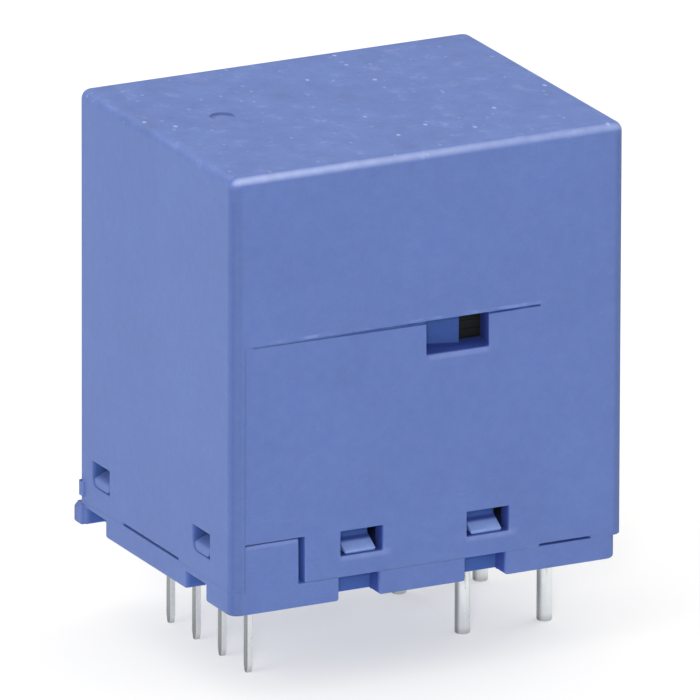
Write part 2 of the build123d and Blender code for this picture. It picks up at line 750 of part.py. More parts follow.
def core_half(side):
    """One U half of the core: side is -1 for the front half and 1 for the back."""
    middle_x = (CORE_OUTER_LEFT + CORE_OUTER_RIGHT) / 2
    width = CORE_OUTER_RIGHT - CORE_OUTER_LEFT
    ring = RectangleRounded(width, 2 * CORE_OUTER_Y, CORE_OUTER_R) - RectangleRounded(
        width - 2 * CORE_STRIP, 2 * CORE_INNER_Y, CORE_FIT
    )
    ring = Pos(middle_x, 0) * ring
    other = Pos(middle_x, -side * CORE_OUTER_Y / 2) * Rectangle(width, CORE_OUTER_Y)
    joint = Pos(PRIMARY_X, 0) * Rectangle(CORE_STRIP, CORE_JOINT)
    gap = Pos(CORE_LEFT_X, 0) * Rectangle(CORE_STRIP, CORE_GAP)
    return prism(ring - other - joint - gap, CORE_Z, CORE_TOP_Z)


def element_lead_z():
    """The heights of the element's leads."""
    middle = (ELEMENT_LEAD_COUNT - 1) / 2
    return [
        ELEMENT_Z + (i - middle) * ELEMENT_LEAD_PITCH for i in range(ELEMENT_LEAD_COUNT)
    ]


def element_leads():
    """The four flat leads, from the element's body through the board."""
    end = BOARD_OUTER_X - ELEMENT_LEAD_PROUD
    return [
        block(
            (end, CORE_LEFT_X),
            (-ELEMENT_LEAD_THICKNESS / 2, ELEMENT_LEAD_THICKNESS / 2),
            (z - ELEMENT_LEAD_WIDTH / 2, z + ELEMENT_LEAD_WIDTH / 2),
        )
        for z in element_lead_z()
    ]


def hall_element():
    """The flat moulded element in the core's air gap, with leads to the board."""
    body = Pos(CORE_LEFT_X, 0, ELEMENT_Z) * Box(
        ELEMENT_LENGTH, ELEMENT_THICKNESS, ELEMENT_HEIGHT
    )
    upper = body.faces().sort_by(Axis.Y)[-1]
    body = chamfer(upper.edges(), ELEMENT_FACE_CHAMFER, ELEMENT_SIDE_CHAMFER)
    return body + element_leads()


def circuit_board():
    """The upright board, with holes for the element's leads."""
    board = block(
        (BOARD_OUTER_X, BOARD_INNER_X),
        (-BOARD_WIDTH / 2, BOARD_WIDTH / 2),
        (BOARD_Z, BOARD_TOP_Z),
    )
    plane = Plane(origin=(BOARD_OUTER_X, 0, 0), x_dir=(0, 1, 0), z_dir=(1, 0, 0))
    for z in element_lead_z():
        hole = plane * (Pos(0, z) * Circle(ELEMENT_LEAD_HOLE_R))
        board -= extrude(hole, BOARD_THICKNESS)
    return board


def on_board(y, z, shape):
    """Puts a component on the board's outer face, its own Z pointing away from the board."""
    spot = Plane(origin=(BOARD_OUTER_X, y, z), x_dir=(0, -1, 0), z_dir=(-1, 0, 0))
    return spot.location * shape


def gull_wing_package(lead_counts, length, width, height, pitch, span):
    """A moulded chip with bent leads along its two long sides, as one solid."""
    foil = PACKAGE_LEAD_FOIL
    body = Pos(0, 0, (PACKAGE_LIFT + height) / 2) * Box(
        width, length, height - PACKAGE_LIFT
    )
    body = chamfer(body.faces().sort_by(Axis.Z)[-1].edges(), foil)
    knee = (span + width) / 4
    bend_z = height / 2
    profile = Polyline(
        (width / 2 - foil, bend_z),
        (knee, bend_z),
        (knee, 0),
        (span / 2, 0),
        (span / 2, foil),
        (knee + foil, foil),
        (knee + foil, bend_z + foil),
        (width / 2 - foil, bend_z + foil),
        close=True,
    )
    start = (0, -PACKAGE_LEAD_WIDTH / 2, 0)
    plane = Plane(origin=start, x_dir=(1, 0, 0), z_dir=(0, -1, 0))
    lead = extrude(plane * make_face(profile), -PACKAGE_LEAD_WIDTH)
    chip = body
    for turn, count in zip((180, 0), lead_counts):
        for i in range(count):
            chip += Rot(0, 0, turn) * Pos(0, (i - (count - 1) / 2) * pitch, 0) * lead
    return chip


def chip_component(length, width, height, end_length):
    """A two-ended chip resistor or capacitor with slightly larger metal ends."""
    component = Pos(0, 0, height / 2) * Box(
        length - 2 * END_PROUD, width - 2 * END_PROUD, height - 2 * END_PROUD
    )
    for side in (-1, 1):
        x = side * (length - end_length) / 2
        component += Pos(x, 0, height / 2) * Box(end_length, width, height)
    return component


def pin_solder():
    """Four solder joints that wrap the secondary pins' upper ends on the board."""
    joints = []
    z = SEAT + SECONDARY_TOP - PIN_SOLDER_HEIGHT / 2
    for y in SECONDARY_Y:
        mound = Pos(0, 0, PIN_SOLDER_PROUD / 2) * Box(
            PIN_SOLDER_WIDTH, PIN_SOLDER_HEIGHT, PIN_SOLDER_PROUD
        )
        mound = chamfer(mound.faces().sort_by(Axis.Z)[-1].edges(), PIN_SOLDER_CHAMFER)
        joints.append(on_board(y, z, mound) - secondary_pin(y))
    return Compound(children=joints)


def element_solder():
    """Four solder cones round the element's leads on the board's outer face."""
    cones = []
    lead_group = element_leads()
    for z, lead in zip(element_lead_z(), lead_group):
        foot = RegularPolygon(ELEMENT_SOLDER_R, ELEMENT_SOLDER_SIDES)
        cone = extrude(foot, ELEMENT_SOLDER_HEIGHT, taper=ELEMENT_SOLDER_TAPER)
        cones.append(on_board(0, z, cone) - lead)
    return Compound(children=cones)


def board_components():
    """Each component's node name and its solid in place."""
    upright = Rot(0, 0, 90)
    amplifier = upright * gull_wing_package(AMPLIFIER_LEAD_COUNTS, **AMPLIFIER)
    regulator = gull_wing_package(REGULATOR_LEAD_COUNTS, **REGULATOR)
    ceramic = chip_component(**CERAMIC)
    upright_ceramic = upright * ceramic
    resistor = chip_component(**RESISTOR)
    front, back = -BOARD_WIDTH / 2, BOARD_WIDTH / 2
    supply_z = BOARD_TOP_Z - SUPPLY_BELOW_TOP
    places = {
        "amplifier_chip": (
            back - AMPLIFIER_COLUMN,
            BOARD_TOP_Z - AMPLIFIER_BELOW_TOP,
            amplifier,
        ),
        "voltage_regulator": (
            front + REGULATOR_COLUMN,
            BOARD_TOP_Z - REGULATOR_BELOW_TOP,
            regulator,
        ),
        "supply_capacitor_1": (front + FRONT_COLUMN, supply_z, upright_ceramic),
        "supply_capacitor_2": (
            front + FRONT_COLUMN + FRONT_COLUMN_STEP,
            supply_z,
            upright_ceramic,
        ),
        "filter_capacitor": (back - BACK_COLUMN, SEAT + FILTER_ROW, ceramic),
        "gain_resistor": (back - BACK_COLUMN, SEAT + GAIN_ROW, resistor),
        "offset_resistor": (back - OFFSET_COLUMN, SEAT + RESISTOR_ROW, resistor),
        "feedback_resistor": (front + FEEDBACK_COLUMN, SEAT + RESISTOR_ROW, resistor),
        "load_resistor": (front + FRONT_COLUMN, SEAT + RESISTOR_ROW, resistor),
    }
    return {name: on_board(*place) for name, place in places.items()}


def all_nodes():
    """Every node's name and solid."""
    nodes = {
        "case_cover": case_cover(),
        "base_tray": base_tray(),
        "coil_former": coil_former(),
        "primary_winding_1": primary_winding_1(),
        "primary_winding_2": primary_winding_2(),
        "core_front_half": core_half(-1),
        "core_back_half": core_half(1),
        "hall_element": hall_element(),
        "circuit_board": circuit_board(),
        "pin_solder": pin_solder(),
        "element_solder": element_solder(),
    }
    for number, y in enumerate(SECONDARY_Y, start=1):
        nodes[f"secondary_pin_{number}"] = secondary_pin(y)
    nodes.update(board_components())
    return nodes


for name, shape in all_nodes().items():
    export_step(shape, f"parts/{name}.step")
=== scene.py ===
import math

import bmesh
import bpy
from mathutils import Matrix, Vector


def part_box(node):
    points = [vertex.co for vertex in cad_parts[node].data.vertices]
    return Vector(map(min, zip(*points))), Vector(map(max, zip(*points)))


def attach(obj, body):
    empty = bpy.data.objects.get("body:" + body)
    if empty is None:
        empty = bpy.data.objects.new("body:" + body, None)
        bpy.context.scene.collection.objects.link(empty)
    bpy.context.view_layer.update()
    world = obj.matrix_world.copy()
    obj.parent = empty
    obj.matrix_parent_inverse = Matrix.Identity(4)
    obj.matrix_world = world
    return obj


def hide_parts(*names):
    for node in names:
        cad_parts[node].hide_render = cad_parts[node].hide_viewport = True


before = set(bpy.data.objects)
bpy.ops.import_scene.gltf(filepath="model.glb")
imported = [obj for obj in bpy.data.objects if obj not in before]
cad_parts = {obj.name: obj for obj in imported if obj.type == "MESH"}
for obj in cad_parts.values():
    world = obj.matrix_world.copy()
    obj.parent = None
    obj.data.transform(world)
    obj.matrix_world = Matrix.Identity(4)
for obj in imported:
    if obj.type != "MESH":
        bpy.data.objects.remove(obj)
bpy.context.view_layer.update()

MM = 0.001


def rounded_box(node):
    """A CAD node's lowest and highest corners, in millimetres."""
    return [[round(value / MM, 3) for value in corner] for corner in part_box(node)]


# The case's outer faces, its seat, the tray's rim and the tray's right wall, in millimetres
(_, FRONT_Y, COVER_BOTTOM), (RIGHT_X, BACK_Y, CASE_TOP) = rounded_box("case_cover")
LEFT_X = -RIGHT_X
SEAT = rounded_box("base_tray")[0][2]
RIM_TOP = SEAT + 1.08
TRAY_RIGHT = RIGHT_X - 0.3

# The sunk front panel, the groove along its top and the port below that
PANEL_LEFT = LEFT_X + 0.65
PANEL_RIGHT = RIGHT_X - 4.12
PANEL_TOP = CASE_TOP - 7.75
PANEL_Y = FRONT_Y + 0.04
GROOVE_LEFT = PANEL_LEFT + 0.39
GROOVE_Y = FRONT_Y + 0.22
PORT_RIGHT = PANEL_RIGHT - 2.51
PORT_LEFT = PORT_RIGHT - 3.05
PORT_HEAD = PANEL_TOP - 0.05
PORT_SILL = PORT_HEAD - 1.55
POCKET_BACK = FRONT_Y + 1.1
PORT_BACK = FRONT_Y + 1.62

# The cover's cut-out and the tray's corner block in it
CUTOUT_RIGHT = PANEL_LEFT + 2.95
CUTOUT_TOP = SEAT + 3.2
BLOCK_LEFT = PANEL_LEFT + 0.03
BLOCK_RIGHT = CUTOUT_RIGHT - 0.31

# The front snap windows and the noses of the hooks in them
WINDOW_SILL = SEAT + 2.03
WINDOW_HALF = 1.04
FRONT_WINDOWS = (LEFT_X + 6.39, RIGHT_X - 6.63)
NOSE_Y = FRONT_Y + 0.48
NOSE_FORWARD = 0.22

# The middle of the round gate mark in the roof
GATE = (LEFT_X + 3.8, 1.0, CASE_TOP)

# Faces that turn by less than this count as one flat face
FLAT_ANGLE = math.radians(0.6)
# In metres: points this near are joined, a face this near to a plane lies in it, and no edge
# has this much room
SAME_POINT = 0.0005 * MM
SAME_PLANE = 1e-7
BOUNDLESS = 1.0

# The blue plastic, and the tones of its smudges, dust and scuffs, of the painted highlights on its
# edges, sills, ramps and the groove's upper edge, and of the painted shade in the groove
BLUE = (0.092, 0.149, 0.385, 1)
SMUDGE_BLUE = (0.24, 0.3, 0.55, 1)
DUST_BLUE = (0.42, 0.48, 0.68, 1)
SCUFF_BLUE = (0.45, 0.5, 0.68, 1)
EDGE_HIGHLIGHT_BLUE = (0.45, 0.51, 0.74, 1)
SILL_HIGHLIGHT_BLUE = (0.34, 0.38, 0.68, 1)
RAMP_HIGHLIGHT_BLUE = (0.26, 0.37, 0.72, 1)
GROOVE_SHADE_BLUE = (0.015, 0.055, 0.28, 1)
LIP_HIGHLIGHT_BLUE = (0.3, 0.4, 0.72, 1)

# Tinned metal, and its pits, the painted dark reflection on its flanks, and its tips
WIRE_TIN = (0.8, 0.825, 0.83, 1)
PIN_TIN = (0.75, 0.775, 0.785, 1)
SOLDER_TIN = (0.6, 0.61, 0.62, 1)
PIT_GREY = (0.24, 0.25, 0.26, 1)
DARK_REFLECTION_GREY = (0.07, 0.08, 0.085, 1)
TIP_GREY = (0.12, 0.125, 0.13, 1)

# The core, the former, the board and what stands on it
VARNISH_BLACK = (0.022, 0.026, 0.022, 1)
SHEET_BLACK = (0.012, 0.013, 0.012, 1)
RUST_BROWN = (0.045, 0.032, 0.018, 1)
FORMER_BLACK = (0.028, 0.028, 0.03, 1)
FLECK_GREY = (0.2, 0.2, 0.21, 1)
RESIST_GREEN = (0.018, 0.15, 0.055, 1)
COPPER_GREEN = (0.05, 0.27, 0.1, 1)
LAMINATE_YELLOW = (0.35, 0.32, 0.16, 1)
CHIP_BLACK = (0.02, 0.02, 0.022, 1)
CERAMIC_BROWN = (0.33, 0.22, 0.13, 1)
RESISTOR_BLACK = (0.02, 0.02, 0.025, 1)

# The floor
CARD_GREY = (0.52, 0.51, 0.488, 1)


def scaled(tone, *factors):
    """A colour with its red, green and blue multiplied."""
    return [channel * factor for channel, factor in zip(tone, factors)] + [1]


class Look:
    """A material whose nodes are added one call at a time, in coordinates of millimetres."""

    def __init__(self, name, metallic=0.0, reflection=0.5):
        self.material = bpy.data.materials.new(name)
        self.material.use_nodes = True
        self.tree = self.material.node_tree
        self.shader = self.tree.nodes["Principled BSDF"]
        self.shader.inputs["Metallic"].default_value = metallic
        self.shader.inputs["Specular IOR Level"].default_value = reflection
        coordinates = self.add("ShaderNodeTexCoord").outputs
        self.place = self.vector("MULTIPLY", coordinates["Object"], (1000, 1000, 1000))
        self.normal = coordinates["Normal"]
        self.x, self.y, self.z = self.split(self.place)

    def add(self, kind, settings=None, **inputs):
        """Adds a node with its settings, and its inputs by name."""
        node = self.tree.nodes.new(kind)
        for name, value in (settings or {}).items():
            setattr(node, name, value)
        for name, value in inputs.items():
            self.feed(node.inputs[name.replace("_", " ")], value)
        return node

    def feed(self, socket, value):
        """Links another node's output to a socket, or sets it to a value."""
        if isinstance(value, bpy.types.NodeSocket):
            self.tree.links.new(value, socket)
        else:
            socket.default_value = value

    def split(self, vector):
        """The three parts of a vector."""
        return self.add("ShaderNodeSeparateXYZ", Vector=vector).outputs

    def vector(self, operation, a, b, output="Vector"):
        """One sum on two vectors."""
        node = self.add("ShaderNodeVectorMath", {"operation": operation})
        self.feed(node.inputs[0], a)
        self.feed(node.inputs[1], b)
        return node.outputs[output]

    def math(self, operation, a, b=0.0):
        """One sum on two numbers."""
        node = self.add("ShaderNodeMath", {"operation": operation})
        self.feed(node.inputs[0], a)
        self.feed(node.inputs[1], b)
        return node.outputs["Value"]

    def chain(self, operation, values):
        """The same sum carried on through all of the values."""
        result = values[0]
        for value in values[1:]:
            result = self.math(operation, result, value)
        return result

    def times(self, *values):
        """The product of numbers."""
        return self.chain("MULTIPLY", values)

    def plus(self, *values):
        """The sum of numbers."""
        return self.chain("ADD", values)

    def least(self, *values):
        """The least of numbers."""
        return self.chain("MINIMUM", values)

    def stretched(self, x, y, z, shift=0.0):
        """The place in millimetres, scaled along each axis and moved."""
        resized = self.vector("MULTIPLY", self.place, (x, y, z))
        return self.vector("ADD", resized, (shift, shift, shift))

    def noise(self, place, scale=1.0, detail=3.0, roughness=0.55):
        """A cloudy pattern of 0 to 1."""
        node = self.add(
            "ShaderNodeTexNoise", Vector=place, Scale=scale, Detail=detail, Roughness=roughness
        )
        return node.outputs["Fac"]

    def specks(self, place, scale, size):
        """Small round marks, one in each cell of the pattern at most."""
        cells = self.add("ShaderNodeTexVoronoi", Vector=place, Scale=scale)
        keep = self.add("ShaderNodeSeparateColor", Color=cells.outputs["Color"])
        mark = self.fade(cells.outputs["Distance"], size, size * 0.4)
        return self.times(mark, self.fade(keep.outputs["Red"], 0.6, 0.75))

    def fade(self, value, zero_at, one_at):
        """Goes smoothly from 0 to 1 between two values."""
        node = self.add(
            "ShaderNodeMapRange",
            {"interpolation_type": "SMOOTHSTEP"},
            Value=value,
            From_Min=zero_at,
            From_Max=one_at,
        )
        return node.outputs["Result"]

    def within(self, value, low, high, soft):
        """1 between two values and 0 outside them, with soft ends."""
        return self.times(
            self.fade(value, low - soft, low + soft), self.fade(value, high + soft, high - soft)
        )

    def spread(self, value, low, high):
        """Turns a pattern's 0 to 1 into low to high."""
        node = self.add("ShaderNodeMapRange", Value=value, To_Min=low, To_Max=high)
        return node.outputs["Result"]

    def mix(self, factor, first, second):
        """Goes from the first colour to the second."""
        node = self.add("ShaderNodeMix", {"data_type": "RGBA", "blend_type": "MIX"})
        self.feed(node.inputs[0], factor)
        self.feed(node.inputs[6], first)
        self.feed(node.inputs[7], second)
        return node.outputs[2]

    def shade(self, colour, factor):
        """The colour made lighter or darker by a pattern."""
        node = self.add("ShaderNodeVectorMath", {"operation": "SCALE"}, Scale=factor)
        self.feed(node.inputs[0], colour if isinstance(colour, bpy.types.NodeSocket) else colour[:3])
        return node.outputs["Vector"]

    def inset(self, right):
        """How far a place lies inside the case's four outer walls, in millimetres."""
        return self.least(
            self.math("SUBTRACT", self.x, LEFT_X),
            self.math("SUBTRACT", right, self.x),
            self.math("SUBTRACT", self.y, FRONT_Y),
            self.math("SUBTRACT", BACK_Y, self.y),
        )

    def bump(self, height, distance):
        """The shading of a surface raised by a pattern, at most by the distance."""
        return self.add(
            "ShaderNodeBump", Height=height, Distance=distance * MM, Strength=1.0
        ).outputs["Normal"]

    def finish(self, colour, roughness, normal=None):
        """Feeds the shader and gives the material."""
        self.feed(self.shader.inputs["Base Color"], colour)
        self.feed(self.shader.inputs["Roughness"], roughness)
        if normal is not None:
            self.feed(self.shader.inputs["Normal"], normal)
        return self.material


def painted_edge_shade(look, base):
    """Painted shade on the upright corners and along the panel's left edge."""
    across = look.math("ABSOLUTE", look.x)
    along = look.math("ABSOLUTE", look.y)
    corner = look.times(
        look.fade(across, RIGHT_X - 0.62, RIGHT_X - 0.3),
        look.fade(along, BACK_Y - 0.55, BACK_Y - 0.2),
        look.fade(look.z, CASE_TOP - 0.3, CASE_TOP - 0.6),
    )
    base = look.shade(base, look.spread(corner, 1.0, 0.82))
    panel_edge = look.times(
        look.within(look.x, PANEL_LEFT - 0.03, PANEL_LEFT + 0.03, 0.04),
        look.fade(look.y, FRONT_Y + 0.3, FRONT_Y + 0.2),
        look.within(look.z, COVER_BOTTOM, PANEL_TOP, 0.1),
    )
    return look.shade(base, look.spread(panel_edge, 1.0, 0.78))


def painted_gate_shade(look, base):
    """Painted shade on the back half of the gate mark's rim."""
    from_gate = look.vector("DISTANCE", look.place, GATE, "Value")
    gate_y = GATE[1]
    rim = look.times(
        look.within(from_gate, 0.36, 0.56, 0.1), look.fade(look.y, gate_y - 0.2, gate_y + 0.3)
    )
    return look.shade(base, look.spread(rim, 1.0, 0.66))


def stained_roof(look, base, on_roof):
    """Clouds of light and dark on the roof, with paler smudges."""
    blotch = look.noise(look.stretched(1, 1, 1, 19.0), 0.75, 4, 0.6)
    base = look.shade(base, look.plus(look.times(on_roof, look.spread(blotch, -0.16, 0.16)), 1.0))
    smudge = look.noise(look.stretched(1, 0.7, 1, 71.0), 1.15, 5, 0.7)
    pale = look.times(on_roof, look.fade(smudge, 0.53, 0.72), 0.3)
    base = look.mix(pale, base, SMUDGE_BLUE)
    return look.shade(base, look.plus(look.times(on_roof, look.fade(smudge, 0.48, 0.3), -0.1), 1.0))


def dusted(look, base, on_roof, tone):
    """Pale dust specks, thicker on the roof, and a few small dark ones."""
    small = look.specks(look.stretched(1, 0.7, 1), 1.1, 0.14)
    large = look.specks(look.stretched(1, 0.7, 1, 31.0), 2.0, 0.2)
    dust = look.plus(
        look.times(small, look.spread(on_roof, 0.0, 0.65)),
        look.times(large, look.spread(on_roof, 0.02, 0.3)),
    )
    base = look.mix(dust, base, DUST_BLUE)
    dark = look.times(look.specks(look.stretched(1, 1, 1, 57.0), 1.1, 0.07), 0.2)
    return look.mix(dark, base, scaled(tone, 0.45, 0.45, 0.45))


def long_scuffs(look, cloud, on_roof):
    """Where faint long scuffs run, mostly on the roof."""
    scuff = look.noise(look.stretched(0.5, 5.5, 2.0, 3.0), 1.3, 2, 0.4)
    return look.times(
        look.within(scuff, 0.497, 0.503, 0.006),
        look.fade(cloud, 0.42, 0.62),
        look.spread(on_roof, 0.06, 0.3),
    )


def painted_roof_edge_highlight(look):
    """Where a painted highlight lies along the edges round the roof, most of all at the front."""
    front_edge = look.fade(look.y, FRONT_Y + 0.36, FRONT_Y + 0.1)
    rim = look.plus(
        look.times(front_edge, look.spread(look.fade(look.x, 6.0, LEFT_X), 0.55, 0.9)),
        look.times(look.fade(look.y, BACK_Y - 0.34, BACK_Y - 0.08), 0.15),
        look.times(look.fade(look.x, RIGHT_X - 0.34, RIGHT_X - 0.08), 0.25),
    )
    return look.times(
        look.least(rim, 1.0),
        look.fade(look.z, CASE_TOP - 0.4, CASE_TOP - 0.14),
        look.spread(look.noise(look.stretched(1.6, 1.6, 1, 11.0), 1.0, 3), 0.45, 0.95),
    )


def painted_lip_highlights(look):
    """Where painted highlights lie on the lower lips of the front windows and the port, and on the
    corner block's top.
    """
    windows = [
        look.times(
            look.within(look.x, centre - WINDOW_HALF, centre + WINDOW_HALF + 0.3, 0.2),
            look.within(look.z, WINDOW_SILL - 0.2, WINDOW_SILL + 0.1, 0.1),
        )
        for centre in FRONT_WINDOWS
    ]
    port = look.times(
        look.within(look.x, PORT_LEFT + 0.1, PORT_RIGHT, 0.2),
        look.within(look.z, PORT_SILL - 0.22, PORT_SILL + 0.1, 0.08),
    )
    block = look.times(
        look.within(look.x, PANEL_LEFT + 0.1, BLOCK_RIGHT - 0.04, 0.1),
        look.within(look.z, CUTOUT_TOP - 0.2, CUTOUT_TOP, 0.06),
    )
    return look.times(
        look.plus(*windows, port, block),
        look.fade(look.y, FRONT_Y + 0.15, FRONT_Y + 0.05),
        look.spread(look.noise(look.stretched(1.5, 1, 1, 23.0), 1.0, 2), 0.4, 1.0),
    )


def painted_hollow_shade(look, tone, facing):
    """The painted shade of hollows, lighter on faces turned to the front and paler in slits."""
    deep_shade = look.mix(
        look.fade(facing["Y"], -0.45, -0.8), scaled(tone, 0.2, 0.3, 0.68), scaled(tone, 0.46, 0.66, 0.87)
    )
    beside_block = look.times(
        look.within(look.x, BLOCK_RIGHT - 0.07, CUTOUT_RIGHT + 0.08, 0.03),
        look.within(look.z, COVER_BOTTOM + 0.1, CUTOUT_TOP + 0.05, 0.03),
    )
    slit = look.plus(look.within(look.z, COVER_BOTTOM - 0.12, COVER_BOTTOM + 0.14, 0.02), beside_block)
    return look.mix(look.least(slit, 1.0), deep_shade, scaled(tone, 0.6, 0.9, 1.3))


def painted_ramp_highlights(look, slope, inset):
    """Where a painted highlight lies on the front snap ramps."""
    return look.times(
        look.fade(slope, -0.4, 0.1),
        look.within(look.z, WINDOW_SILL - 0.1, WINDOW_SILL + 0.44, 0.06),
        look.fade(look.y, FRONT_Y + 1.2, FRONT_Y + 1.0),
        look.fade(inset, 0.1, 0.2),
        look.spread(look.noise(look.stretched(1.5, 1.5, 4), 1.0, 3), 0.6, 1.0),
    )


def painted_panel_line(look, base):
    """Painted shade in the groove along the panel's upper line, thickest by the port's left corner,
    under a painted highlight along the groove's upper edge.
    """
    shade_from = PORT_LEFT - 4.2
    along_line = look.times(
        look.within(look.x, shade_from, PANEL_RIGHT - 0.05, 0.05),
        look.spread(look.fade(look.x, shade_from, PORT_LEFT), 0.3, 1.0),
        look.fade(look.y, FRONT_Y + 0.5, FRONT_Y + 0.3),
    )
    groove_shade = look.times(
        look.within(look.z, PANEL_TOP - 0.11, PANEL_TOP, 0.035),
        along_line,
        look.fade(look.noise(look.stretched(1.2, 1, 6, 5.0), 1.0, 3), 0.3, 0.6),
    )
    base = look.mix(look.times(groove_shade, 0.8), base, GROOVE_SHADE_BLUE)
    lip_highlight = look.times(
        look.within(look.z, PANEL_TOP + 0.03, PANEL_TOP + 0.16, 0.05),
        look.within(look.x, PANEL_LEFT + 1.5, PANEL_RIGHT - 0.3, 0.8),
        look.fade(look.noise(look.stretched(0.9, 1, 1.6, 29.0), 1.0, 3), 0.42, 0.62),
        look.fade(look.y, FRONT_Y + 0.1, FRONT_Y + 0.02),
    )
    return look.mix(look.times(lip_highlight, 0.3), base, LIP_HIGHLIGHT_BLUE)


def moulded_plastic(name, tone, right, ramps=False):
    """Soft blue moulding with a fine eroded grain, cloudy colour, dust, scuffs, painted highlights on
    edges, sills and ramps, and painted shade in hollows, corners and the groove.
    """
    look = Look(name, reflection=0.36)
    look.shader.inputs["Subsurface Weight"].default_value = 0.3
    look.shader.inputs["Subsurface Radius"].default_value = (0.12, 0.28, 1.0)
    look.shader.inputs["Subsurface Scale"].default_value = 0.5 * MM
    cloud = look.noise(look.stretched(1, 1, 1), 0.22, 2)
    flow = look.noise(look.stretched(0.35, 0.35, 1.1, 7.0), 0.5, 3)
    mottle = look.noise(look.place, 1.9, 4, 0.62)
    grain = look.noise(look.place, 9.0, 3, 0.6)
    fine = look.noise(look.place, 26.0, 2, 0.5)
    level = look.plus(
        look.spread(cloud, -0.05, 0.05),
        look.spread(flow, -0.035, 0.035),
        look.spread(mottle, -0.055, 0.055),
        look.spread(grain, -0.05, 0.05),
        look.spread(fine, -0.03, 0.03),
        1.0,
    )
    facing = look.split(look.normal)
    slope = facing["Z"]
    inset = look.inset(right)
    on_roof = look.fade(look.z, CASE_TOP - 0.5, CASE_TOP - 0.1)

    base = look.mix(look.fade(mottle, 0.35, 0.7), tone, scaled(tone, 1.07, 1.05, 1.015))
    base = look.shade(base, level)
    # Painted shade on the upright corners and the panel's left edge
    base = painted_edge_shade(look, base)
    # Painted shade on the back half of the gate mark's rim
    base = painted_gate_shade(look, base)
    base = stained_roof(look, base, on_roof)
    base = dusted(look, base, on_roof, tone)
    scuffs = long_scuffs(look, cloud, on_roof)
    base = look.mix(scuffs, base, SCUFF_BLUE)
    # Painted highlight along the roof's edges, strongest at the front; the same mask makes them glossier
    edge_highlight = painted_roof_edge_highlight(look)
    base = look.mix(edge_highlight, base, EDGE_HIGHLIGHT_BLUE)
    # Painted highlights on the lower lips of the front windows and the port, and on the corner block's
    # top
    base = look.mix(look.times(painted_lip_highlights(look), 0.25), base, SILL_HIGHLIGHT_BLUE)

    # The side hooks' ramps take painted shade, and less painted shade from the hollows
    side_ramp = look.times(look.fade(slope, 0.1, 0.4), look.fade(look.x, LEFT_X + 1.2, LEFT_X + 1.0))
    # Painted shade in the hollows inside the outer walls, away from the roof and from faces turned down
    hollow_shade = look.times(
        look.fade(inset, 0.03, 0.3),
        look.fade(look.z, CASE_TOP - 0.9, CASE_TOP - 1.2),
        look.fade(slope, -0.9, -0.5),
        look.spread(side_ramp, 1.0, 0.3),
    )
    base = look.mix(look.times(hollow_shade, 0.92), base, painted_hollow_shade(look, tone, facing))
    # On the tray: painted highlights on the front snap ramps and painted shade on the side ramps
    if ramps:
        base = look.mix(painted_ramp_highlights(look, slope, inset), base, RAMP_HIGHLIGHT_BLUE)
        base = look.shade(base, look.spread(side_ramp, 1.0, 0.9))
    # Painted shade in the groove over the panel, under a painted highlight along its upper edge
    base = painted_panel_line(look, base)

    roughness = look.plus(
        look.spread(mottle, 0.5, 0.62),
        look.times(scuffs, 0.15),
        look.times(edge_highlight, -0.08),
        look.times(hollow_shade, 0.35),
    )
    height = look.plus(look.times(grain, 0.5), look.times(fine, 0.35), look.times(mottle, 0.8))
    return look.finish(base, roughness, look.bump(height, 0.012))


def tinned_metal(name, tone, streak=(6, 6, 0.72)):
    """Dipped tin: bright, a little uneven, with streaks along the wire, duller patches and a painted
    dark reflection on the back left flanks.
    """
    look = Look(name, metallic=1.0)
    streaks = look.noise(look.stretched(*streak), 1.0, 3, 0.6)
    patches = look.noise(look.place, 1.4, 3)
    pits = look.specks(look.place, 5.0, 0.2)
    level = look.plus(look.spread(streaks, -0.12, 0.1), look.spread(patches, -0.1, 0.08), 1.0)
    base = look.shade(tone, level)
    base = look.mix(look.times(pits, 0.5), base, PIT_GREY)

    # Painted dark reflection on the flanks towards the back left
    flank = look.split(look.vector("MULTIPLY", look.normal, (-0.89, 0.45, 0)))
    to_back_left = look.fade(look.plus(flank["X"], flank["Y"]), 0.25, 0.8)
    dark_reflection = look.times(to_back_left, look.spread(streaks, 0.6, 1.0))
    base = look.mix(look.times(dark_reflection, 0.85), base, DARK_REFLECTION_GREY)

    tip = look.times(look.fade(look.z, 0.45, 0.0), look.spread(patches, 0.4, 1.0))
    base = look.mix(look.times(tip, 0.55), base, TIP_GREY)
    roughness = look.plus(look.spread(patches, 0.2, 0.36), look.spread(streaks, -0.05, 0.08))
    height = look.plus(streaks, look.times(patches, 1.5))
    return look.finish(base, roughness, look.bump(height, 0.01))


def laminated_steel():
    """The core's stack of thin sheets, with cut edges and dull varnish."""
    look = Look("laminated_steel", metallic=0.4)
    sheets_per_mm = 2.6
    sheet = look.math("FRACT", look.times(look.z, sheets_per_mm))
    line = look.within(sheet, 0.0, 0.12, 0.05)
    cloud = look.noise(look.place, 1.1, 4)
    grit = look.noise(look.stretched(1, 1, 5), 6.0, 3)
    level = look.plus(look.spread(cloud, 0.75, 1.2), look.spread(grit, -0.1, 0.1))
    base = look.shade(VARNISH_BLACK, level)
    base = look.mix(look.times(line, 0.5), base, SHEET_BLACK)
    rust = look.times(look.fade(cloud, 0.6, 0.75), 0.3)
    base = look.mix(rust, base, RUST_BROWN)
    height = look.plus(look.times(line, -1.0), look.times(grit, 0.3))
    return look.finish(base, look.spread(cloud, 0.35, 0.6), look.bump(height, 0.02))


